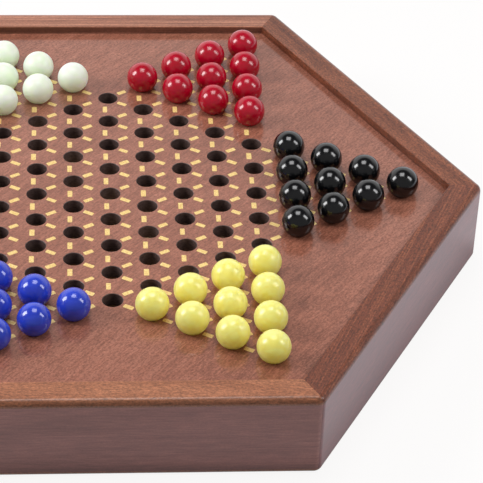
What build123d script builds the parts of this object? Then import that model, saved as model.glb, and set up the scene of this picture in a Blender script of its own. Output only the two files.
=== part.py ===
from build123d import *
import math
import os

# A Chinese checkers set: a six-sided wooden case with a drilled playing panel set
# into its mitred rails, two captive marble drawers that pull out of opposite sides,
# and six colours of ten glass marbles, one colour in each point of the star.
# Millimetres. The origin is the centre of the underside, +X points at one corner of
# the case, +Y at the middle of its back rail, and +Z up.

# Case rails
across_flats = 282.0
case_height = 39.0
rail_thickness = 12.6
top_round = 3.0
foot_round = 2.4
corner_round = 3.5

# Playing panel, held in a groove round the rails
recess_depth = 3.8
panel_thickness = 6.0
groove_depth = 5.0
groove_end_gap = 0.3

# Base panel, set into a rabbet round the foot of the rails
base_thickness = 4.0
base_recess = 0.5
rabbet_depth = 6.0
rabbet_end_gap = 0.3

# Star of sockets, drawn with flat sides so that all of them stay light. A marble
# seats on the socket's rim. The margin is from the middle of a tip socket to the
# corner where two rails meet inside.
star_margin = 20.8
socket_diameter = 9.4
socket_sides = 10
star_reach = 4

# Marbles
marble_diameter = 14.0
marble_seat_gap = 0.1

# Drawers. Each one fills the height that its sill and its tall back leave it.
drawer_width = 103.0
drawer_gap = 0.5
sill_height = 6.5
front_thickness = 8.0
side_thickness = 5.0
side_drop = 3.0
side_lap = 4.0
back_thickness = 5.0
back_clearance = 1.0
stop_height = 1.2
bottom_thickness = 2.5
bottom_lift = 1.5
bottom_groove = 2.5
divider_thickness = 3.0
divider_drop = 1.5

# Drawer guides and the bar that stops both drawers and carries the panel's middle
guide_thickness = 6.0
ledge_gap = 0.3
centre_bar_thickness = 12.0

# Turned knobs
knob_tenon_diameter = 5.0
knob_foot_diameter = 7.0
knob_head_diameter = 14.0
knob_head_reach = 9.0
knob_crown_diameter = 8.0
knob_reach = 13.0

# Heights and faces that follow from the sizes above
apothem = across_flats / 2
inner_apothem = apothem - rail_thickness
panel_top = case_height - recess_depth
panel_underside = panel_top - panel_thickness
base_top = base_recess + base_thickness
inner_corner = inner_apothem / math.cos(math.radians(30))
row_pitch = (inner_corner - star_margin) / (2 * star_reach)
socket_pitch = row_pitch / math.cos(math.radians(30))
opening_width = drawer_width + 2 * drawer_gap
opening_top = panel_underside - back_clearance - stop_height
drawer_foot = sill_height + drawer_gap
drawer_height = opening_top - drawer_gap - drawer_foot
side_height = drawer_height - side_drop
drawer_back_face = centre_bar_thickness / 2 + drawer_gap
front_inner_face = apothem - front_thickness
bottom_top = drawer_foot + bottom_lift + bottom_thickness
divider_top = drawer_foot + side_height - divider_drop

# In turn round the case from +X, seen from above: the rails, and the colours in the
# points of the star, which lie between them. Each drawer goes through one rail.
rails = [
    "back_right_rail",
    "back_rail",
    "back_left_rail",
    "front_left_rail",
    "front_rail",
    "front_right_rail",
]
colours = ["black", "red", "white", "green", "blue", "yellow"]
drawer_rails = {"right_drawer": "back_right_rail", "left_drawer": "front_left_rail"}


# Which way a rail faces, in degrees from +X
def rail_angle(rail):
    return (rails.index(rail) + 0.5) * 360 / len(rails)


# Which way a colour's point of the star lies, in degrees from +X
def colour_angle(colour):
    return colours.index(colour) * 360 / len(colours)


# A block between two corners
def block(x_low, x_high, y_low, y_high, z_low, z_high):
    size = (x_high - x_low, y_high - y_low, z_high - z_low)
    return Pos(x_low, y_low, z_low) * Box(*size, align=(Align.MIN, Align.MIN, Align.MIN))


# A six-sided prism with its corners on the +X axis and every 60 degrees from it
def hexagon_prism(half_width, z_low, z_high):
    outline = RegularPolygon(half_width, 6, major_radius=False)
    return extrude(Pos(0, 0, z_low) * outline, z_high - z_low)


def turned(shape, angle):
    return Rot(0, 0, angle) * shape


# Outside of the whole case, with its rounded corners, top edge and foot
def case_envelope():
    body = hexagon_prism(apothem, 0, case_height)
    body = fillet(body.edges().filter_by(Axis.Z), corner_round)
    body = fillet(body.faces().sort_by(Axis.Z)[-1].edges(), top_round)
    return fillet(body.faces().sort_by(Axis.Z)[0].edges(), foot_round)


# The rail that faces +X: one sixth of the case, mitred at both ends, with the
# groove for the playing panel and the rabbet for the base
def rail_facing_x():
    corner_reach = 2 * apothem
    half_run = corner_reach * math.tan(math.radians(30))
    sector = Polygon((0, 0), (corner_reach, -half_run), (corner_reach, half_run), align=None)
    rail = turned(case_envelope(), 30) & extrude(sector, case_height)
    rail -= turned(hexagon_prism(inner_apothem, 0, case_height), 30)
    groove_end = inner_apothem + groove_depth
    rail -= turned(hexagon_prism(groove_end, panel_underside, panel_top), 30)
    rabbet_end = inner_apothem + rabbet_depth
    return rail - turned(hexagon_prism(rabbet_end, 0, base_top), 30)


# What is cut from a rail to let a drawer through
def drawer_opening():
    half = opening_width / 2
    near, far = inner_apothem - rail_thickness, apothem + rail_thickness
    return block(near, far, -half, half, sill_height, opening_top)


# Places of the sockets: every lattice point whose three hexagonal coordinates stay
# above the reach's minus or below its plus, which are the star's two large triangles
def star_places():
    places = []
    for a in range(-2 * star_reach, 2 * star_reach + 1):
        for b in range(-2 * star_reach, 2 * star_reach + 1):
            c = -a - b
            if min(a, b, c) >= -star_reach or max(a, b, c) <= star_reach:
                places.append((a * row_pitch, (b - c) * socket_pitch / 2))
    return places


def playing_panel():
    panel = hexagon_prism(inner_apothem + groove_depth - groove_end_gap, panel_underside, panel_top)
    socket = RegularPolygon(socket_diameter / 2, socket_sides, major_radius=False)
    sockets = Sketch() + [Pos(x, y) * socket for x, y in star_places()]
    return panel - extrude(Pos(0, 0, panel_underside) * sockets, panel_thickness)


def base_panel():
    return hexagon_prism(inner_apothem + rabbet_depth - rabbet_end_gap, base_recess, base_top)


# One ball about the origin, as a geodesic solid of eighty facets: the corners of an
# icosahedron and the middles of its edges, all pushed out to the marble's radius
def marble():
    golden = (1 + math.sqrt(5)) / 2
    signs = (-1, 1)
    pattern = [(0, 0, i * golden) for i in signs]
    pattern += [(0, i, j * golden) for i in signs for j in signs]
    pattern += [(i, j * golden, k * golden**2) for i in signs for j in signs for k in signs]
    cycled = [point[turn:] + point[:turn] for point in pattern for turn in range(3)]
    return ConvexPolyhedron([Vector(*p).normalized() * (marble_diameter / 2) for p in cycled])


# A row of marbles across the point of the star that lies along +X. Row 1 has four
# marbles and is nearest the middle of the board; row 4 is the single tip marble.
def marble_row(row):
    count = star_reach + 1 - row
    seat_radius = socket_diameter / 2
    centre_height = math.sqrt((marble_diameter / 2 + marble_seat_gap) ** 2 - seat_radius**2)
    balls = []
    for place in range(count):
        y = (place - (count - 1) / 2) * socket_pitch
        balls.append(Pos((star_reach + row) * row_pitch, y, panel_top + centre_height) * marble())
    return balls


# Drawer front, flush with the rail, with a rabbet behind each end for the sides, a
# groove for the bottom and a hole for the knob
def drawer_front():
    half = drawer_width / 2
    front = block(front_inner_face, apothem, -half, half, drawer_foot, drawer_foot + drawer_height)
    lap_end = front_inner_face + side_lap
    for low, high in ((-half, side_thickness - half), (half - side_thickness, half)):
        front -= block(front_inner_face, lap_end, low, high, drawer_foot, drawer_foot + side_height)
    groove_end = front_inner_face + bottom_groove
    bottom_half = half - side_thickness
    low, high = drawer_foot + bottom_lift, bottom_top
    front -= block(front_inner_face, groove_end, -bottom_half, bottom_half, low, high)
    return front - knob_axis() * Cylinder(knob_tenon_diameter / 2, 4 * front_thickness)


# Drawer side on the +Y hand, grooved for the bottom
def drawer_side():
    half = drawer_width / 2
    front_end = front_inner_face + side_lap
    top = drawer_foot + side_height
    side = block(drawer_back_face, front_end, half - side_thickness, half, drawer_foot, top)
    inner = half - side_thickness
    low, high = drawer_foot + bottom_lift, bottom_top
    return side - block(drawer_back_face, front_end, inner, inner + bottom_groove, low, high)


# Drawer back, standing on the bottom and taller than the opening, so that it stops
# behind the rail and the drawer can't fall out
def drawer_back():
    half = drawer_width / 2 - side_thickness
    high = opening_top + stop_height
    return block(drawer_back_face, drawer_back_face + back_thickness, -half, half, bottom_top, high)


def drawer_bottom():
    half = drawer_width / 2 - side_thickness + bottom_groove
    inner_half = drawer_width / 2 - side_thickness
    low = drawer_foot + bottom_lift
    bottom = block(drawer_back_face, front_inner_face, -half, half, low, bottom_top)
    tongue_end = front_inner_face + bottom_groove
    return bottom + block(front_inner_face, tongue_end, -inner_half, inner_half, low, bottom_top)


# Divider on the +Y hand: two of them part the drawer into three equal channels
def drawer_divider():
    inner_width = drawer_width - 2 * side_thickness
    channel = (inner_width - 2 * divider_thickness) / 3
    low = channel / 2
    back = drawer_back_face + back_thickness
    return block(back, front_inner_face, low, low + divider_thickness, bottom_top, divider_top)


# Where the knob's axis leaves the drawer front, with Z outward along it
def knob_axis():
    return Pos(apothem, 0, drawer_foot + drawer_height / 2) * Rot(0, 90, 0)


# Knob turned from one piece, with its tenon glued into the drawer front
def drawer_knob():
    tenon = knob_tenon_diameter / 2
    profile = Polyline(
        (0, -front_thickness),
        (tenon, -front_thickness),
        (tenon, 0),
        (knob_foot_diameter / 2, 0),
        (knob_head_diameter / 2, knob_head_reach),
        (knob_crown_diameter / 2, knob_reach),
        (0, knob_reach),
        close=True,
    )
    return knob_axis() * revolve(Plane.XZ * make_face(profile), Axis.Z)


# Guide on the +Y hand of a drawer: a wall beside it, as tall as the hollow, and a
# ledge under the drawer's side
def drawer_guide():
    inner = drawer_width / 2 + drawer_gap
    near, far = centre_bar_thickness / 2, inner_apothem
    wall = block(near, far, inner, inner + guide_thickness, base_top, panel_underside)
    ledge_edge = drawer_width / 2 - side_thickness
    return wall + block(near, far, ledge_edge, inner, base_top, drawer_foot - ledge_gap)


# Bar across the middle of the case, cut to the mitred corners at its ends
def centre_bar():
    half = centre_bar_thickness / 2
    bar = block(-half, half, -across_flats, across_flats, base_top, panel_underside)
    return bar & turned(hexagon_prism(inner_apothem, base_top, panel_underside), 30)


# Each piece of a drawer as it lies when the drawer faces +X
def drawer_pieces():
    flip = Plane.XZ
    return {
        "front": drawer_front(),
        "knob": drawer_knob(),
        "side_1": drawer_side(),
        "side_2": mirror(drawer_side(), flip),
        "back": drawer_back(),
        "bottom": drawer_bottom(),
        "divider_1": drawer_divider(),
        "divider_2": mirror(drawer_divider(), flip),
        "guide_1": drawer_guide(),
        "guide_2": mirror(drawer_guide(), flip),
    }


def write(name, shapes):
    solids = [solid for shape in shapes for solid in shape.solids()]
    export_step(Compound(children=solids), f"parts/{name}.step")


def main():
    os.makedirs("parts", exist_ok=True)
    plain_rail = rail_facing_x()
    opened_rail = plain_rail - drawer_opening()
    for name in rails:
        rail = opened_rail if name in drawer_rails.values() else plain_rail
        write(name, [turned(rail, rail_angle(name))])
    write("playing_panel", [playing_panel()])
    write("base_panel", [base_panel()])
    write("centre_bar", [turned(centre_bar(), rail_angle(drawer_rails["right_drawer"]))])
    pieces = drawer_pieces()
    for drawer, rail in drawer_rails.items():
        for piece, shape in pieces.items():
            write(f"{drawer}_{piece}", [turned(shape, rail_angle(rail))])
    for row in range(1, star_reach + 1):
        balls = marble_row(row)
        for colour in colours:
            write(f"{colour}_marbles_row_{row}", [turned(ball, colour_angle(colour)) for ball in balls])


main()
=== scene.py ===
import math
import random
import bmesh
import bpy
from mathutils import Matrix, Vector


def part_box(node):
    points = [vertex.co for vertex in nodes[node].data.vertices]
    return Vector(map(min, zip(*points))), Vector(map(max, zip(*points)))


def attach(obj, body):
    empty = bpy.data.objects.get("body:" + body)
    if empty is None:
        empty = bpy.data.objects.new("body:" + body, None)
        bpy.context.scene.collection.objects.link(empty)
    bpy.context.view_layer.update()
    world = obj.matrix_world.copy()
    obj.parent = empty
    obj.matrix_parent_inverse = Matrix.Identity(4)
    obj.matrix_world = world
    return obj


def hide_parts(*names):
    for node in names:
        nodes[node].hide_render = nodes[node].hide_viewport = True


# A Chinese checkers set: rails, panel, print, marbles and drawers dressed for the camera.
# Everything is in metres, in the frame's own axes: +Y is the back rail, +X the black marbles.
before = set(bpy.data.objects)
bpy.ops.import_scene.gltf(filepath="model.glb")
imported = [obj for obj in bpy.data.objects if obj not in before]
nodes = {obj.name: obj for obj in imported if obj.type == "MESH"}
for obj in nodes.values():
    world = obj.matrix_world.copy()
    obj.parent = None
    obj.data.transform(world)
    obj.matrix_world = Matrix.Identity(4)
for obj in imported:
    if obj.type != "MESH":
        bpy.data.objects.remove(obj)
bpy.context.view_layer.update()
print("frame loaded with", len(nodes), "nodes")

mm = 0.001
hair = 1e-6  # how close counts as the same place
sixth = math.radians(60)
twelfth = math.radians(30)

# Sizes read off the frame; an apothem reaches from the middle to a flat side
frontLow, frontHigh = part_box("front_rail")
panelLow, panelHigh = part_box("playing_panel")
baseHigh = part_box("base_panel")[1]
tipLow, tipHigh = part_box("black_marbles_row_4")
apothem, innerApothem, caseHeight = -frontLow.y, -frontHigh.y, frontHigh.z
panelTop, panelUnderside = panelHigh.z, panelLow.z
starReach = 4
rowPitch = (tipLow.x + tipHigh.x) / 2 / (2 * starReach)
socketPitch = rowPitch / math.cos(twelfth)


# Mesh helpers

# a lathe turn of (radius, height) points; six steps make a six-sided solid
def turn(bm, profile, steps, start=0.0, place=None):
    ring = [bm.verts.new((r * math.cos(start), r * math.sin(start), z)) for r, z in profile]
    line = [bm.edges.new(pair) for pair in zip(ring, ring[1:])]
    bmesh.ops.spin(bm, geom=ring + line, cent=(0, 0, 0), axis=(0, 0, 1), angle=math.tau,
                   steps=steps, use_merge=True)
    bmesh.ops.remove_doubles(bm, verts=bm.verts, dist=hair / 10)
    if place:
        bmesh.ops.transform(bm, matrix=place, verts=bm.verts)


def smoothMesh(mesh, sharpAngle=30.0):
    mesh.shade_smooth()
    mesh.set_sharp_from_angle(angle=math.radians(sharpAngle))


def addObject(name, data):
    made = bpy.data.objects.new(name, data)
    bpy.context.scene.collection.objects.link(made)
    return made


# bm is used up
def addPiece(name, bm, sharpAngle=30.0):
    bmesh.ops.recalc_face_normals(bm, faces=bm.faces)
    mesh = bpy.data.meshes.new(name)
    bm.to_mesh(mesh)
    bm.free()
    smoothMesh(mesh, sharpAngle)
    return addObject(name, mesh)


# piece keeps its mesh less the cutter, which is used up
def cutAway(piece, cutter):
    cut = piece.modifiers.new("cut", "BOOLEAN")
    cut.operation, cut.solver, cut.object = "DIFFERENCE", "EXACT", cutter
    cutter.hide_render = True
    shape = piece.evaluated_get(bpy.context.evaluated_depsgraph_get())
    mesh = bpy.data.meshes.new_from_object(shape)
    piece.modifiers.clear()
    piece.data = mesh
    bpy.data.objects.remove(cutter)


# flat faces keep their own normals beside small rounds
def weightNormals(piece):
    weighted = piece.modifiers.new("normals", "WEIGHTED_NORMAL")
    weighted.keep_sharp = True


def edgesWhere(bm, test):
    return [e for e in bm.edges if all(test(v.co) for v in e.verts)]


def bevelEdges(bm, edges, width, segments):
    bmesh.ops.bevel(bm, geom=edges, offset=width, offset_type="OFFSET", segments=segments,
                    profile=0.5, affect="EDGES", clamp_overlap=False, material=-1)


# Material helpers

def addNode(tree, kind, inputs=None, **settings):
    made = tree.nodes.new("ShaderNode" + kind)
    for key, value in settings.items():
        setattr(made, key, value)
    for key, value in (inputs or {}).items():
        if isinstance(value, bpy.types.NodeSocket):
            tree.links.new(value, made.inputs[key])
        else:
            made.inputs[key].default_value = value
    return made


def newMaterial(name):
    material = bpy.data.materials.new(name)
    material.use_nodes = True
    return material, material.node_tree, material.node_tree.nodes["Principled BSDF"]


def rgba(colour):
    return (*colour, 1.0)


def scaled(colour, shares):
    return tuple(channel * share for channel, share in zip(colour, shares))


# a ramp from one colour to the next as fac goes through the stops
def addRamp(tree, fac, stops):
    ramp = addNode(tree, "ValToRGB", {"Fac": fac})
    while len(ramp.color_ramp.elements) < len(stops):
        ramp.color_ramp.elements.new(0.5)
    for element, (place, colour) in zip(ramp.color_ramp.elements, stops):
        element.position, element.color = place, rgba(colour)
    return ramp.outputs["Color"]


# a Mix node's sockets 6, 7 and 2 are its two colours and its result
def multiplyColour(tree, fac, a, b):
    mixed = addNode(tree, "Mix", {0: fac, 6: a, 7: b}, data_type="RGBA", blend_type="MULTIPLY")
    return mixed.outputs[2]


# noise drawn out along X, whose lumps are length by width
def grainNoise(tree, vector, length, width, detail=3.0, roughness=0.5, distortion=0.0):
    stretched = addNode(tree, "VectorMath", {0: vector, 1: (1 / length, 1 / width, 1 / width)},
                        operation="MULTIPLY").outputs[0]
    noise = addNode(tree, "TexNoise", {"Vector": stretched, "Scale": 1.0, "Detail": detail,
                                       "Roughness": roughness, "Distortion": distortion})
    return noise.outputs["Fac"]


def remap(tree, value, low, high, newLow=0.0, newHigh=1.0):
    return addNode(tree, "MapRange", {"Value": value, "From Min": low, "From Max": high,
                                      "To Min": newLow, "To Max": newHigh}).outputs["Result"]


def combine(tree, operation, a, b):
    return addNode(tree, "Math", {0: a, 1: b}, operation=operation).outputs[0]


noiseRange = (0.35, 0.65)  # nearly all of a noise lies in it


# noise turned into middle plus or minus depth
def swing(tree, noise, middle, depth):
    return remap(tree, noise, *noiseRange, middle - depth, middle + depth)


# What all woods share. The ends of the ramp and the painted shade colour are shares of the middle
# colour.
woodEnds = {"dark": (0.45, 0.36, 0.34), "light": (1.45, 1.6, 1.7), "shaded": (0.36, 0.38, 0.42)}
shadeAndRelief = {"shadeEvenness": 0.85, "shadePatches": 0.15, "grainRelief": 0.05 * mm}


# Wood with its grain along the direction `along`, in radians from +X.
# Two mesh attributes mark where shade is painted into the wood: the outer rounds and the inner wall.
def woodMaterial(name, wood, along, shift):
    material, tree, shader = newMaterial(name)
    place = addNode(tree, "TexCoord").outputs["Object"]
    laid = addNode(tree, "Mapping", {"Vector": place, "Rotation": (0, 0, -along),
                                     "Location": shift}).outputs["Vector"]
    figure = grainNoise(tree, laid, *wood["figure"], distortion=wood["wave"])
    streaks = grainNoise(tree, laid, *wood["streaks"], detail=2)
    fibres = grainNoise(tree, laid, *wood["fibres"], detail=2)
    speckle = grainNoise(tree, laid, *wood["speckle"], roughness=0.75)
    tone = combine(tree, "ADD", swing(tree, figure, 0.0, wood["figureDepth"]),
                   swing(tree, streaks, 0.0, wood["streakDepth"]))
    tone = remap(tree, tone, -1.0, 1.0)
    ends = dict(woodEnds, **wood.get("ends", {}))
    dark = scaled(wood["mid"], ends["dark"])
    light = scaled(wood["mid"], ends["light"])
    colour = addRamp(tree, tone, [(0.0, dark), (0.5, wood["mid"]), (1.0, light)])
    for grain, depth in ((fibres, wood["fibreDepth"]), (speckle, wood["speckleDepth"])):
        colour = multiplyColour(tree, 1.0, colour, swing(tree, grain, 1.0, depth))
    # Painted shade: the marked rounds, the inner wall and the foot are multiplied towards a darker
    # colour, in patches that follow the figure.
    darkening = addNode(tree, "Attribute", attribute_name="darkening").outputs["Fac"]
    evenShade = shadeAndRelief["shadeEvenness"] * wood["edgeShade"]
    patches = swing(tree, figure, evenShade, shadeAndRelief["shadePatches"])
    darkening = combine(tree, "MULTIPLY", darkening, patches)
    inside = addNode(tree, "Attribute", attribute_name="inside").outputs["Fac"]
    darkening = combine(tree, "MAXIMUM", darkening, combine(tree, "MULTIPLY", inside, wood["insideShade"]))
    if "footShadeBand" in wood:
        z = addNode(tree, "SeparateXYZ", {0: place}).outputs["Z"]
        foot = remap(tree, z, *wood["footShadeBand"], wood["footShade"], 0.0)
        darkening = combine(tree, "MAXIMUM", darkening, foot)
    colour = multiplyColour(tree, darkening, colour, rgba(woodEnds["shaded"]))
    tree.links.new(colour, shader.inputs["Base Color"])
    shader.inputs["Roughness"].default_value = wood["roughness"]
    bump = addNode(tree, "Bump", {"Strength": wood["bump"], "Distance": shadeAndRelief["grainRelief"],
                                  "Height": combine(tree, "ADD", fibres, speckle)}).outputs["Normal"]
    tree.links.new(bump, shader.inputs["Normal"])
    return material


# Rails: six lacquered boards, mitred, each with the grain along its length
rails = {
    "names": ["back_right_rail", "back_rail", "back_left_rail",
              "front_left_rail", "front_rail", "front_right_rail"],
    "drawers": {"right_drawer": "back_right_rail", "left_drawer": "front_left_rail"},
    "topRound": 3.0 * mm,
    "footRound": 2.4 * mm,
    "cornerRound": 3.5 * mm,
    "innerArris": 0.4 * mm,
    "openingArris": 0.3 * mm,
    "openingGap": 0.5 * mm,
    "mitreGap": 0.02 * mm,
    "grooveGap": 0.3 * mm,
    "segments": {"corner": 6, "top": 10, "foot": 8, "inner": 3, "opening": 2},
    "over": 5.0 * mm,  # what a cutter stands out past the wood
    "shadeSpread": 3.5,  # how soon the painted shade on the top round is full
    "grainShift": (0.31, 0.17, 0.0),  # from one rail's wood to the next
    "looks": {
        "back_right_rail": {"mid": (0.180, 0.052, 0.023), "figureDepth": 0.5, "streakDepth": 0.35,
                            "speckleDepth": 0.55},
        # the back rail's inner wall, which lies in the shade of its own rail, gets painted shade
        "back_rail": {"mid": (0.347, 0.137, 0.081), "insideShade": 0.75,
                      "streaks": (0.150, 0.0013), "streakDepth": 0.55,
                      "fibres": (0.020, 0.0006), "fibreDepth": 0.2, "speckleDepth": 0.25},
        "front_right_rail": {"mid": (0.156, 0.040, 0.018), "side": (0.160, 0.029, 0.024),
                             "edgeShade": 0.0, "footShade": 0.15,
                             "figure": (0.300, 0.0040), "figureDepth": 0.28,
                             "streaks": (0.300, 0.0010), "streakDepth": 0.62, "fibres": (0.020, 0.0005),
                             "fibreDepth": 0.1, "speckleDepth": 0.55, "wave": 0.15, "tilt": 0.1,
                             "ends": {"dark": (0.65, 0.70, 0.85), "light": (1.7, 2.1, 2.2)}},
    },
}
# grain sizes are (length, width) in metres
# three of these shares set how much shade is painted: on the outer rounds, on the inner wall and
# towards the foot of the side
railWood = {
    "mid": (0.322, 0.118, 0.057), "side": (0.290, 0.108, 0.087),
    "wave": 0.5, "roughness": 0.33, "bump": 0.3, "insideShade": 0.0, "edgeShade": 0.47,
    "footShade": 0.75, "tilt": 0.0,
    "figure": (0.050, 0.009), "figureDepth": 0.25, "streaks": (0.050, 0.0016), "streakDepth": 0.15,
    "fibres": (0.005, 0.0006), "fibreDepth": 0.15, "speckle": (0.0011, 0.0007), "speckleDepth": 0.42,
}
# the side veneer gets painted shade, darker towards the foot from 6 mm down to 0.5 mm, standing in for
# the floor's contact shadow
sideGrain = {
    "speckleDepth": 0.12, "fibres": (0.008, 0.0007), "fibreDepth": 0.14,
    "streaks": (0.050, 0.0016), "streakDepth": 0.15, "figure": (0.050, 0.009), "figureDepth": 0.25,
    "footShadeBand": (0.5 * mm, 6.0 * mm),
}


def railAngle(name):
    return (rails["names"].index(name) + 0.5) * sixth


# The rail that faces +X; opening is its drawer's width, foot and top, or None
def makeRailMesh(opening):
    segments = rails["segments"]
    bm = bmesh.new()
    corner = apothem / math.cos(twelfth)
    bmesh.ops.create_cone(bm, cap_ends=True, segments=6, radius1=corner, radius2=corner,
                          depth=caseHeight, matrix=Matrix.Translation((0, 0, caseHeight / 2)))
    upright = [e for e in bm.edges if abs(e.verts[0].co.z - e.verts[1].co.z) > caseHeight / 2]
    bevelEdges(bm, upright, rails["cornerRound"] * math.tan(twelfth), segments["corner"])
    topEdges = edgesWhere(bm, lambda p: p.z > caseHeight - hair)
    bevelEdges(bm, topEdges, rails["topRound"], segments["top"])
    footEdges = edgesWhere(bm, lambda p: p.z < hair)
    bevelEdges(bm, footEdges, rails["footRound"], segments["foot"])
    for side in (1, -1):
        normal = Vector((-math.sin(twelfth), side * math.cos(twelfth), 0))
        everything = bm.verts[:] + bm.edges[:] + bm.faces[:]
        cut = bmesh.ops.bisect_plane(bm, geom=everything, plane_co=-normal * rails["mitreGap"],
                                     plane_no=normal, clear_outer=True)
        loop = [g for g in cut["geom_cut"] if isinstance(g, bmesh.types.BMEdge)]
        bmesh.ops.edgeloop_fill(bm, edges=loop)
    piece = addPiece("railBlank", bm)
    stretch = 1 / math.cos(twelfth)
    inner = innerApothem * stretch
    groove = (panelHigh.y + rails["grooveGap"]) * stretch
    rabbet = (baseHigh.y + rails["grooveGap"]) * stretch
    over = rails["over"]
    cutter = bmesh.new()
    turn(cutter, [(0, -over), (rabbet, -over), (rabbet, baseHigh.z), (inner, baseHigh.z),
                  (inner, panelUnderside), (groove, panelUnderside), (groove, panelTop),
                  (inner, panelTop), (inner, caseHeight + over), (0, caseHeight + over)],
         6, start=twelfth)
    cutAway(piece, addPiece("hollow", cutter))
    if opening:
        width, foot, top = opening
        cutter = bmesh.new()
        bmesh.ops.create_cube(cutter, size=1.0, matrix=(
            Matrix.Translation((apothem, 0, (foot + top) / 2))
            @ Matrix.Diagonal((apothem / 2, width, top - foot, 1))))
        cutAway(piece, addPiece("opening", cutter))
    bm = bmesh.new()
    bm.from_mesh(piece.data)
    bmesh.ops.remove_doubles(bm, verts=bm.verts, dist=hair / 10)
    innerEdges = edgesWhere(bm, lambda p: p.z > caseHeight - hair and p.x < innerApothem + hair)
    bevelEdges(bm, innerEdges, rails["innerArris"], segments["inner"])
    if opening:
        mouth = edgesWhere(bm, lambda p: p.x > apothem - hair and abs(p.y) < width / 2 + hair
                           and foot - hair < p.z < top + hair)
        bevelEdges(bm, mouth, rails["openingArris"], segments["opening"])
    markFaces(bm)
    bmesh.ops.recalc_face_normals(bm, faces=bm.faces)
    bm.to_mesh(piece.data)
    bm.free()
    mesh = piece.data
    bpy.data.objects.remove(piece)
    return mesh


# The outer flat, with the near part of its corner rounds, gets the side veneer.
# The top and foot rounds and the inner wall get marks for painted shade.
def markFaces(bm):
    darkening = bm.loops.layers.float.new("darkening")
    inside = bm.loops.layers.float.new("inside")
    topRound, footRound = rails["topRound"], rails["footRound"]
    for face in bm.faces:
        middle = face.calc_center_median()
        upright = abs(face.normal.z) < 0.05
        outer = middle.x > innerApothem + topRound
        level = face.normal.z > 0.999
        if upright and outer and face.normal.x > 0.8:
            face.material_index = 1
        for loop in face.loops:
            z = loop.vert.co.z
            # painted shade down the top round, and a painted contact shadow that is darkest at the
            # bottom of the foot round
            if outer and middle.z > caseHeight - topRound and not level:
                loop[darkening] = min(1.0, rails["shadeSpread"] * (caseHeight - z) / topRound)
            if outer and middle.z < footRound:
                loop[darkening] = 1.0 - z / footRound
            # the inner wall is marked for painted shade
            if upright and middle.x < innerApothem + mm:
                loop[inside] = 1.0


sideMaterials = {}  # each rail's side veneer, which its drawer front and knob wear too


def makeRails():
    gap = rails["openingGap"]
    low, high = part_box("right_drawer_front")
    across = railAngle(rails["drawers"]["right_drawer"]) + 3 * twelfth
    opening = (nodeSpan("right_drawer_front", across) + 2 * gap, low.z - gap, high.z + gap)
    plainMesh, openMesh = makeRailMesh(None), makeRailMesh(opening)
    for index, name in enumerate(rails["names"]):
        opened = name in rails["drawers"].values()
        mesh = (openMesh if opened else plainMesh).copy()
        mesh.transform(Matrix.Rotation(railAngle(name), 4, "Z"))
        smoothMesh(mesh)
        piece = addObject("dressed_" + name, mesh)
        weightNormals(piece)
        wood = dict(railWood, **rails["looks"].get(name, {}))
        sideWood = dict(wood, **sideGrain, mid=wood["side"])
        along = railAngle(name) + 3 * twelfth + wood["tilt"]
        shift = scaled(rails["grainShift"], (index,) * 3)
        mesh.materials.append(woodMaterial(name + "_wood", wood, along, shift))
        mesh.materials.append(woodMaterial(name + "_side", sideWood, along, shift))
        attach(piece, "case")
        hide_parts(name)
        sideMaterials[name] = mesh.materials[1]
    print("rails made")


# how far a node reaches along a direction, in radians from +X
def nodeSpan(name, direction):
    along = Vector((math.cos(direction), math.sin(direction), 0))
    reach = [v.co.dot(along) for v in nodes[name].data.vertices]
    return max(reach) - min(reach)


# Playing panel with its 121 countersunk sockets, and the gold print
panel = {
    "bore": 4.3 * mm, "rim": 4.5 * mm, "countersink": 0.2 * mm, "steps": 32, "over": 1.0 * mm,
    "grain": math.radians(50), "shift": (0.41, 0.37, 0.0),
}
socketLook = {
    "mottle": (1.5 * mm, 0.8 * mm), "roughness": 0.5,
    "darkening": [(0.3, (0.06, 0.034, 0.031)), (0.7, (0.15, 0.095, 0.085))],
}
panelWood = {
    "mid": (0.292, 0.109, 0.070),
    "wave": 1.5, "roughness": 0.16, "bump": 0.15, "insideShade": 0.0, "edgeShade": 1.0,
    "figure": (0.140, 0.090), "figureDepth": 0.22, "streaks": (0.014, 0.0025), "streakDepth": 0.2,
    "fibres": (0.004, 0.0006), "fibreDepth": 0.15, "speckle": (0.0012, 0.0009), "speckleDepth": 0.3,
}


def starPlaces():
    places = []
    for a in range(-2 * starReach, 2 * starReach + 1):
        for b in range(-2 * starReach, 2 * starReach + 1):
            c = -a - b
            if min(a, b, c) >= -starReach or max(a, b, c) <= starReach:
                places.append(Vector((a * rowPitch, (b - c) * socketPitch / 2, 0)))
    return places


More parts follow.
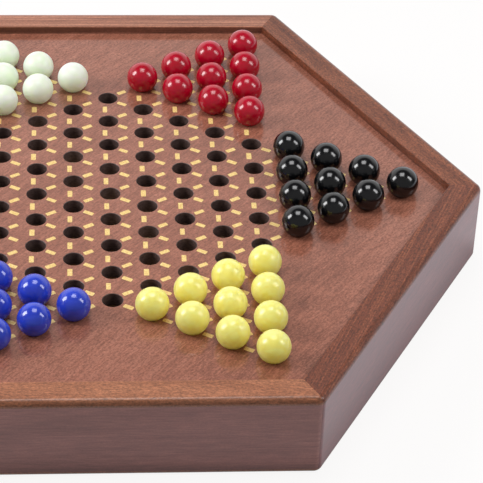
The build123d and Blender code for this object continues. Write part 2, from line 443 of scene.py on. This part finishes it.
# One drill shape cuts all sockets. Its cone goes on above the top, so that it crosses it at the rim.
def makePanel():
    bm = bmesh.new()
    corner = panelHigh.y / math.cos(twelfth)
    height = panelTop - panelUnderside
    lay = Matrix.Translation((0, 0, panelUnderside + height / 2)) @ Matrix.Rotation(twelfth, 4, "Z")
    bmesh.ops.create_cone(bm, cap_ends=True, segments=6, radius1=corner, radius2=corner,
                          depth=height, matrix=lay)
    piece = addPiece("drilled_panel", bm)
    one = bmesh.new()
    bore, rim, sink = panel["bore"], panel["rim"], panel["countersink"]
    below = panelUnderside - panel["over"]
    turn(one, [(0, below), (bore, below), (bore, panelTop - sink),
               (2 * rim - bore, panelTop + sink), (0, panelTop + sink)], panel["steps"])
    drill = bpy.data.meshes.new("drill")
    one.to_mesh(drill)
    one.free()
    cutter = bmesh.new()
    for place in starPlaces():
        drill.transform(Matrix.Translation(place))
        cutter.from_mesh(drill)
        drill.transform(Matrix.Translation(-place))
    cutAway(piece, addPiece("drills", cutter))
    mesh = piece.data
    mesh.materials.clear()
    mesh.materials.append(woodMaterial("panel_veneer", panelWood, panel["grain"], panel["shift"]))
    mesh.materials.append(socketStain())
    for face in mesh.polygons:
        steep = abs(face.normal.z) < 0.9
        if steep and face.center.xy.length < innerApothem:
            face.material_index = 1
    smoothMesh(mesh)
    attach(piece, "case")
    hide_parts("playing_panel")
    print("panel drilled")


# the dark stain in every bore and countersink
def socketStain():
    material, tree, shader = newMaterial("socket_stain")
    place = addNode(tree, "TexCoord").outputs["Object"]
    mottle = grainNoise(tree, place, *socketLook["mottle"])
    colour = addRamp(tree, mottle, socketLook["darkening"])
    tree.links.new(colour, shader.inputs["Base Color"])
    shader.inputs["Roughness"].default_value = socketLook["roughness"]
    return material


dashes = {
    "length": 4.4 * mm, "width": 2.1 * mm, "proud": 0.03 * mm, "sunk": 0.02 * mm,
    "corner": 0.35 * mm, "cornerSegments": 2, "shift": Vector((-1.6 * mm, 0, 0)),
    "wander": 0.12 * mm, "stretch": (0.94, 1.06), "seed": 7,
    "speckle": (0.6 * mm, 0.6 * mm), "roughness": 0.4,
    "gold": [(0.3, (0.70, 0.44, 0.13)), (0.7, (0.95, 0.72, 0.30))],
}


# one dash between every two neighbouring sockets, each slightly off its place and size
def makeDashes():
    chance = random.Random(dashes["seed"])
    places = starPlaces()
    bm = bmesh.new()
    for turns in range(3):
        angle = twelfth + turns * sixth
        step = Vector((math.cos(angle), math.sin(angle), 0)) * socketPitch
        for start in places:
            if not any((start + step - p).length < mm for p in places):
                continue
            stray = Vector((chance.uniform(-1, 1), chance.uniform(-1, 1), 0)) * dashes["wander"]
            middle = start + step / 2 + dashes["shift"] + stray
            middle.z = panelTop + (dashes["proud"] - dashes["sunk"]) / 2
            size = Matrix.Diagonal((dashes["length"] * chance.uniform(*dashes["stretch"]),
                                    dashes["width"] * chance.uniform(*dashes["stretch"]),
                                    dashes["proud"] + dashes["sunk"], 1))
            lay = Matrix.Translation(middle) @ Matrix.Rotation(angle, 4, "Z") @ size
            bmesh.ops.create_cube(bm, size=1.0, matrix=lay)
    upright = [e for e in bm.edges if abs(e.verts[0].co.z - e.verts[1].co.z) > hair]
    bevelEdges(bm, upright, dashes["corner"], dashes["cornerSegments"])
    piece = addPiece("gold_dashes", bm)
    piece.data.materials.append(goldPrint())
    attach(piece, "case")
    print("dashes printed")


def goldPrint():
    material, tree, shader = newMaterial("gold_print")
    place = addNode(tree, "TexCoord").outputs["Object"]
    speckle = grainNoise(tree, place, *dashes["speckle"], detail=2)
    colour = addRamp(tree, speckle, dashes["gold"])
    tree.links.new(colour, shader.inputs["Base Color"])
    shader.inputs["Roughness"].default_value = dashes["roughness"]
    return material


# Marbles, one piece for each row across a point of the star.
# Depth is how much of the light goes into the glass and scatters there.
marbles = {
    "colours": {
        "black": {"deep": (0.002, 0.002, 0.003), "bright": (0.004, 0.004, 0.005)},
        "red": {"deep": (0.39, 0.0005, 0.013), "bright": (0.47, 0.001, 0.023), "roughness": 0.2},
        "white": {"deep": (0.75, 0.97, 0.66), "bright": (0.83, 0.99, 0.76),
                  "roughness": 0.38, "depth": 1.0},
        "green": {"deep": (0.01, 0.20, 0.04), "bright": (0.02, 0.27, 0.06)},
        "blue": {"deep": (0.022, 0.048, 0.52), "bright": (0.032, 0.068, 0.60)},
        "yellow": {"deep": (0.97, 0.79, 0.18), "bright": (0.99, 0.88, 0.27),
                   "roughness": 0.28, "depth": 1.0},
    },
    "subdivisions": 4, "swirl": (9.0 * mm, 5.0 * mm), "swirlWave": 1.5,
    "roughness": 0.16, "index": 1.6, "scatter": (1.0, 1.0, 0.8), "scatterSize": 15.0 * mm,
}


def glassMaterial(colour):
    material, tree, shader = newMaterial(colour + "_glass")
    place = addNode(tree, "TexCoord").outputs["Object"]
    swirl = grainNoise(tree, place, *marbles["swirl"], distortion=marbles["swirlWave"])
    glass = marbles["colours"][colour]
    tones = addRamp(tree, swirl, list(zip(noiseRange, (glass["deep"], glass["bright"]))))
    tree.links.new(tones, shader.inputs["Base Color"])
    shader.inputs["Roughness"].default_value = glass.get("roughness", marbles["roughness"])
    shader.inputs["IOR"].default_value = marbles["index"]
    shader.inputs["Subsurface Weight"].default_value = glass.get("depth", 0.0)
    shader.inputs["Subsurface Radius"].default_value = marbles["scatter"]
    shader.inputs["Subsurface Scale"].default_value = marbles["scatterSize"]
    return material


def makeMarbles():
    radius, height = (tipHigh.z - tipLow.z) / 2, (tipHigh.z + tipLow.z) / 2
    for index, colour in enumerate(marbles["colours"]):
        material = glassMaterial(colour)
        for row in range(1, starReach + 1):
            bm = bmesh.new()
            for place in range(starReach + 1 - row):
                y = (place - (starReach - row) / 2) * socketPitch
                centre = Vector(((starReach + row) * rowPitch, y, height))
                lay = Matrix.Rotation(index * sixth, 4, "Z") @ Matrix.Translation(centre)
                bmesh.ops.create_icosphere(bm, subdivisions=marbles["subdivisions"],
                                           radius=radius, matrix=lay)
            piece = addPiece(f"{colour}_row_{row}_glass", bm)
            piece.data.materials.append(material)
            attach(piece, f"{colour}_row_{row}")
            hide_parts(f"{colour}_marbles_row_{row}")
    print("marbles placed")


# Drawers: fronts in their rail's own wood, turned knobs, plain wood and plywood inside
knob = {
    "tenon": 2.5 * mm, "foot": 3.5 * mm, "head": 7.0 * mm, "headReach": 9.0 * mm,
    "reach": 13.0 * mm, "tenonLength": 8.0 * mm, "steps": 48, "points": 10, "sharpAngle": 40.0,
}
plainWood = {
    "mid": (0.53, 0.35, 0.19),
    "wave": 0.6, "roughness": 0.5, "bump": 0.3, "insideShade": 0.0, "edgeShade": 1.0,
    "figure": (0.150, 0.010), "figureDepth": 0.2, "streaks": (0.050, 0.002), "streakDepth": 0.2,
    "fibres": (0.010, 0.0006), "fibreDepth": 0.06, "speckle": (0.002, 0.0007), "speckleDepth": 0.05,
}
plyWood = dict(plainWood, mid=(0.58, 0.41, 0.24), figure=(0.2, 0.03), streaks=(0.08, 0.005))
# where each wood's pattern starts, so that no two show the same grain
patternShifts = {
    "sides": (0.1, 0.2, 0.3), "back": (0.4, 0.1, 0.2), "bottom": (0.2, 0.5, 0.1),
    "base": (0.3, 0.3, 0.3), "bar": (0.5, 0.2, 0.4),
}


# a CAD node keeps its mesh and takes a Blender material
def dressNode(name, material):
    data = nodes[name].data
    if data.materials:
        data.materials[0] = material
    else:
        data.materials.append(material)


# radii and heights above the drawer front; the neck flares in an S up to the domed head
def makeKnob(drawer, angle):
    points = knob["points"]
    flare = knob["head"] - knob["foot"]
    dome = knob["reach"] - knob["headReach"]
    profile = [(0, -knob["tenonLength"]), (knob["tenon"], -knob["tenonLength"]), (knob["tenon"], 0)]
    for i in range(points + 1):
        share = i / points
        bulge = share * share * (3 - 2 * share)
        profile.append((knob["foot"] + flare * bulge, knob["headReach"] * share))
    for i in range(1, points + 1):
        a = i / points * math.pi / 2
        profile.append((knob["head"] * math.cos(a), knob["headReach"] + dome * math.sin(a)))
    low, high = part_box(f"{drawer}_knob")
    middle = (low.z + high.z) / 2
    out = Matrix.Translation((apothem, 0, middle)) @ Matrix.Rotation(math.pi / 2, 4, "Y")
    bm = bmesh.new()
    turn(bm, profile, knob["steps"], place=Matrix.Rotation(angle, 4, "Z") @ out)
    piece = addPiece(f"{drawer}_turned_knob", bm, knob["sharpAngle"])
    piece.data.materials.append(sideMaterials[rails["drawers"][drawer]])
    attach(piece, drawer)
    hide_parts(f"{drawer}_knob")


def dressDrawers():
    shifts = patternShifts
    for drawer, railName in rails["drawers"].items():
        out = railAngle(railName)
        across = out + 3 * twelfth
        dressNode(f"{drawer}_front", sideMaterials[railName])
        lengthways = woodMaterial(drawer + "_sides_wood", plainWood, out, shifts["sides"])
        crossways = woodMaterial(drawer + "_back_wood", plainWood, across, shifts["back"])
        floorPly = woodMaterial(drawer + "_bottom_ply", plyWood, across, shifts["bottom"])
        for part in ("side_1", "side_2", "divider_1", "divider_2", "guide_1", "guide_2"):
            dressNode(f"{drawer}_{part}", lengthways)
        dressNode(f"{drawer}_back", crossways)
        dressNode(f"{drawer}_bottom", floorPly)
        makeKnob(drawer, out)
    dressNode("base_panel", woodMaterial("base_ply", plyWood, 0.0, shifts["base"]))
    dressNode("centre_bar", woodMaterial("bar_wood", plainWood, 4 * twelfth, shifts["bar"]))
    print("drawers dressed")


# Studio: pale floor, white surroundings behind the board, three soft boxes.
# A soft box's azimuth is in degrees from +Y, clockwise from above. The three spans are ranges
# of a direction's Y or Z; frontFades is a range of Y on the floor, in metres.
studio = {
    "floorSize": 8.0, "paper": (1.0, 0.99, 0.985),
    "floorShown": 0.92, "floorGlow": 0.9, "floorBounce": 0.4,
    # reflections see the floor as a glow with painted shadow near the board's foot, and painted dark in
    # front
    "reflectedPaperGlow": (0.97, 0.99, 1.05), "reflectedFootShade": (0.66, 1.38), "footReach": 14 * mm,
    "frontFades": (-0.42, -0.25), "frontDark": 0.08,
    "roomTint": (1.0, 0.99, 0.98),
    "behind": 0.97, "behindSpan": (0.1, 0.6), "topSpan": (0.6, 0.7),
    "front": 0.27, "fill": 0.08, "frontSpan": (-0.5, -0.1),
    "softBoxes": {
        "left": {"azimuth": -85, "elevation": 35, "distance": 0.92,
                 "size": (0.31, 0.44), "radiance": 12.7},
        "over": {"azimuth": 8, "elevation": 85, "distance": 1.0,
                 "size": (0.44, 0.44), "radiance": 6.2},
        "right": {"azimuth": 104, "elevation": 40, "distance": 1.02,
                  "size": (0.25, 0.50), "radiance": 7.9},
    },
}


# The camera sees white paper with a soft shadow. Gloss sees a glow instead, with painted shadow
# that darkens it towards the foot of the board, and painted dark in front. What it bounces onto the
# board is dimmer.
def makeFloor():
    bm = bmesh.new()
    bmesh.ops.create_grid(bm, x_segments=1, y_segments=1, size=studio["floorSize"])
    floor = addPiece("studio_floor", bm)
    material, tree, _ = newMaterial("floor_paper")
    tree.nodes.clear()
    path = addNode(tree, "LightPath")
    place = addNode(tree, "TexCoord").outputs["Object"]
    y = addNode(tree, "SeparateXYZ", {0: place}).outputs["Y"]
    dark, bounce = studio["frontDark"], studio["floorBounce"]
    white = addDiffuse(tree, (studio["floorShown"],) * 3)
    shown = mixShader(tree, studio["floorGlow"], white, addGlow(tree, studio["paper"], 1.0))
    # painted reflection: gloss rays see a glow, dimmer near the board's foot as a painted shadow, and
    # dark in front
    reflectedShade = remap(tree, reachFromFoot(tree, place), 0.0, studio["footReach"], *studio["reflectedFootShade"])
    paintedReflection = mixShader(tree, remap(tree, y, *studio["frontFades"]), addGlow(tree, (1, 1, 1), dark),
                         addGlow(tree, studio["reflectedPaperGlow"], reflectedShade))
    lit = mixShader(tree, path.outputs["Is Glossy Ray"], addDiffuse(tree, (bounce,) * 3), paintedReflection)
    surface = mixShader(tree, path.outputs["Is Camera Ray"], lit, shown)
    addNode(tree, "OutputMaterial", {"Surface": surface})
    floor.data.materials.append(material)


# distance outside the six flats of the case
def reachFromFoot(tree, place):
    reach = 0.0
    for turns in range(3):
        angle = twelfth + turns * sixth
        outward = (math.cos(angle), math.sin(angle), 0)
        along = addNode(tree, "VectorMath", {0: place, 1: outward}, operation="DOT_PRODUCT")
        distance = addNode(tree, "Math", {0: along.outputs["Value"]}, operation="ABSOLUTE")
        reach = combine(tree, "MAXIMUM", reach, distance.outputs[0])
    return combine(tree, "SUBTRACT", reach, apothem)


def addGlow(tree, colour, strength):
    return addNode(tree, "Emission", {"Color": rgba(colour), "Strength": strength}).outputs[0]


def addSky(tree, colour, strength):
    return addNode(tree, "Background", {"Color": rgba(colour), "Strength": strength}).outputs[0]


def addDiffuse(tree, colour):
    return addNode(tree, "BsdfDiffuse", {"Color": rgba(colour)}).outputs[0]


def mixShader(tree, fac, a, b):
    return addNode(tree, "MixShader", {0: fac, 1: a, 2: b}).outputs[0]


# The sky is a low white wall behind the board and dim elsewhere; the camera sees white paper.
def makeWorld():
    world = bpy.data.worlds.new("studio")
    bpy.context.scene.world = world
    world.use_nodes = True
    tree = world.node_tree
    tree.nodes.clear()
    direction = addNode(tree, "TexCoord").outputs["Generated"]
    parts = addNode(tree, "SeparateXYZ", {0: direction})
    behind = remap(tree, parts.outputs["Y"], *studio["behindSpan"])
    low = remap(tree, parts.outputs["Z"], *studio["topSpan"], 1.0, 0.0)
    wall = combine(tree, "MULTIPLY", combine(tree, "MULTIPLY", behind, low), studio["behind"])
    strength = remap(tree, parts.outputs["Y"], *studio["frontSpan"], studio["front"], studio["fill"])
    strength = combine(tree, "ADD", strength, wall)
    around = addSky(tree, studio["roomTint"], strength)
    backdrop = addSky(tree, studio["paper"], 1.0)
    isCamera = addNode(tree, "LightPath").outputs["Is Camera Ray"]
    addNode(tree, "OutputWorld", {"Surface": mixShader(tree, isCamera, around, backdrop)})


# unit vector towards an azimuth clockwise from +Y and an elevation, in radians
def aim(azimuth, elevation):
    level = math.cos(elevation)
    return Vector((math.sin(azimuth) * level, math.cos(azimuth) * level, math.sin(elevation)))


def makeLamps():
    for name, box in studio["softBoxes"].items():
        towards = aim(math.radians(box["azimuth"]), math.radians(box["elevation"]))
        lamp = bpy.data.lights.new(name + "_softbox", "AREA")
        lamp.shape, lamp.size, lamp.size_y = "RECTANGLE", *box["size"]
        lamp.energy = box["radiance"] * math.pi * box["size"][0] * box["size"][1]
        lampObject = addObject(name + "_softbox", lamp)
        lampObject.location = towards * box["distance"]
        lampObject.rotation_euler = towards.to_track_quat("Z", "Y").to_euler()


# Camera at the photograph's place; yaw, pitch and roll in degrees, pitch downwards
viewpoint = {
    "place": (-0.01358, -0.84445, 0.65894), "yaw": 4.856, "pitch": 37.507, "roll": 2.602,
    "lens": 179.8, "sensor": 36.0,
}


def makeCamera():
    yaw, pitch, roll = (math.radians(viewpoint[k]) for k in ("yaw", "pitch", "roll"))
    forward = aim(yaw, -pitch)
    level = Vector((math.cos(yaw), -math.sin(yaw), 0))
    upward = level.cross(forward)
    across = level * math.cos(roll) + upward * math.sin(roll)
    upright = upward * math.cos(roll) - level * math.sin(roll)
    camera = addObject("camera", bpy.data.cameras.new("camera"))
    camera.data.lens, camera.data.sensor_width = viewpoint["lens"], viewpoint["sensor"]
    axes = Matrix((across, upright, -forward)).transposed()
    camera.matrix_world = Matrix.Translation(viewpoint["place"]) @ axes.to_4x4()
    bpy.context.scene.camera = camera


makeCamera()
makeRails()
makePanel()
makeDashes()
makeMarbles()
dressDrawers()
makeFloor()
makeWorld()
makeLamps()
bpy.context.scene.view_settings.view_transform = "Standard"
print("studio set")
